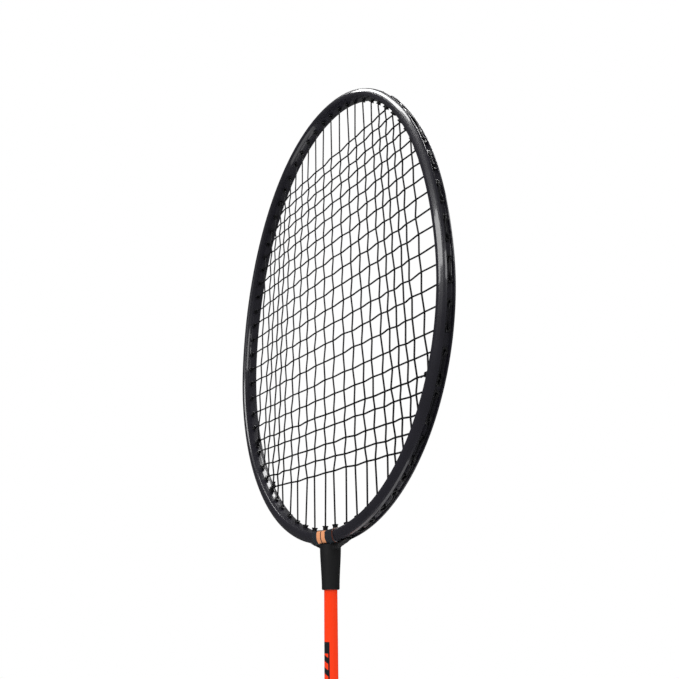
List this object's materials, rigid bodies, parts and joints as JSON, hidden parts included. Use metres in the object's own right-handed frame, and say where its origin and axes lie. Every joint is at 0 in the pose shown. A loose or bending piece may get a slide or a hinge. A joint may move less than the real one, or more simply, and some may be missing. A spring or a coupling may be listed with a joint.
{
  "type": "badminton racket",
  "caption": "Oval strung racket head on a T-joint, slim round shaft and a wrapped eight-sided handle, held in one hand to hit a shuttlecock.",
  "frame": {"origin": "centre of the butt end, on the plane of its flat face", "axes": "+Z along the shaft to the head, X across the head, Y square to the strings"},
  "size_m": [0.2052, 0.0288, 0.675],
  "materials": {
    "frame_paint": "satin black paint",
    "string": "dark nylon, slight sheen",
    "grommet": "black nylon moulding",
    "band_paint": "blue-black gloss paint",
    "joint_metal": "cast, unpainted",
    "cone_plastic": "matt black moulding",
    "shaft_paint": "gloss orange lacquer",
    "pin_steel": "plain",
    "handle_wood": "bare",
    "grip": "soft matt, perforated",
    "finish_tape": "smooth vinyl",
    "cap_plastic": "moulded",
    "badge": "orange gloss disc"
  },
  "bodies": {
    "root": {"head_frame": "frame_paint", "main_string": "string", "cross_string": "string", "grommet_strip_right_1": "grommet", "grommet_strip_right_2": "grommet", "grommet_strip_right_3": "grommet", "grommet_strip_right_4": "grommet", "grommet_strip_right_5": "grommet", "grommet_strip_right_6": "grommet", "grommet_strip_left_1": "grommet", "grommet_strip_left_2": "grommet", "grommet_strip_left_3": "grommet", "grommet_strip_left_4": "grommet", "grommet_strip_left_5": "grommet", "grommet_strip_left_6": "grommet", "t_joint_band": "band_paint", "t_joint_core": "joint_metal", "t_joint_cone": "cone_plastic", "shaft": "shaft_paint", "shaft_pin": "pin_steel", "handle_core": "handle_wood", "handle_cone": "cone_plastic", "grip_wrap": "grip", "grip_finish_tape": "finish_tape", "butt_cap": "cap_plastic", "butt_badge": "badge"}
  },
  "joints": []
}
